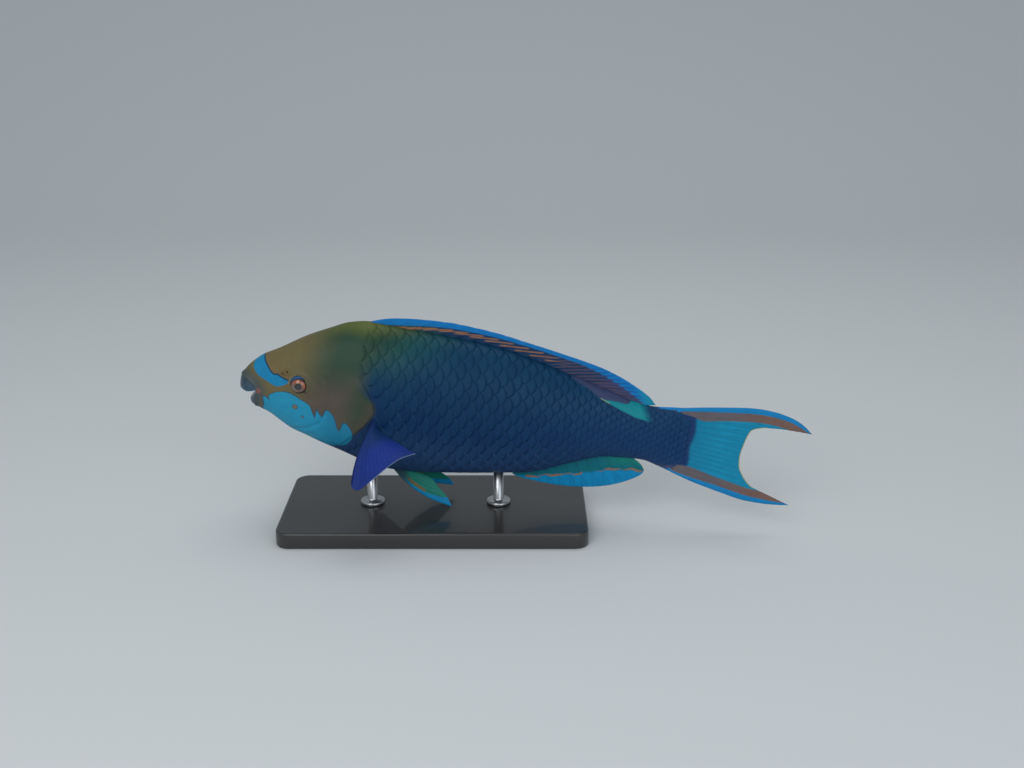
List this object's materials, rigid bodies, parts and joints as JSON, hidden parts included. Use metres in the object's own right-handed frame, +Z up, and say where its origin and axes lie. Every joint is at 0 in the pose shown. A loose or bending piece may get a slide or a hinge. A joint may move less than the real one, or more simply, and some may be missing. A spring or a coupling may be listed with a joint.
{
  "type": "parrotfish",
  "caption": "Life-size parrotfish with a beaked head, long dorsal fin and lunate tail, swimming, held over a flat base by short rods.",
  "frame": {"origin": "on the floor under the middle of the whole model's box, on the stand base's underside", "axes": "+X from the snout towards the tail, +Z up, the fish's left side towards -Y"},
  "size_m": [0.5496, 0.2004, 0.207],
  "materials": {
    "head_skin": "satin, olive with turquoise snout band and cheek patch",
    "body_skin": "satin, deep blue scales",
    "dorsal_fin": "satin, azure edge over salmon streaks",
    "anal_fin": "satin, green above and azure below",
    "tail_fin": "satin, turquoise with brown bands",
    "pectoral_fin": "satin, violet blue",
    "pelvic_fin": "satin, green with azure edge",
    "beak": "polished, blue-grey tooth plates",
    "eye": "clear gloss over an orange iris",
    "stand_base": "satin black lacquer",
    "stand_rod": "brushed"
  },
  "bodies": {
    "root": {"head": "head_skin", "trunk": "body_skin", "tail": "body_skin", "dorsal_fin": "dorsal_fin", "anal_fin": "anal_fin", "caudal_lobe_upper": "tail_fin", "caudal_fin_middle": "tail_fin", "caudal_lobe_lower": "tail_fin", "pectoral_fin_left": "pectoral_fin", "pectoral_fin_right": "pectoral_fin", "pelvic_fin_left": "pelvic_fin", "pelvic_fin_right": "pelvic_fin", "beak_upper": "beak", "beak_lower": "beak", "eye_left": "eye", "eye_right": "eye", "stand_base": "stand_base", "stand_rod_front": "stand_rod", "stand_rod_rear": "stand_rod"}
  },
  "joints": []
}
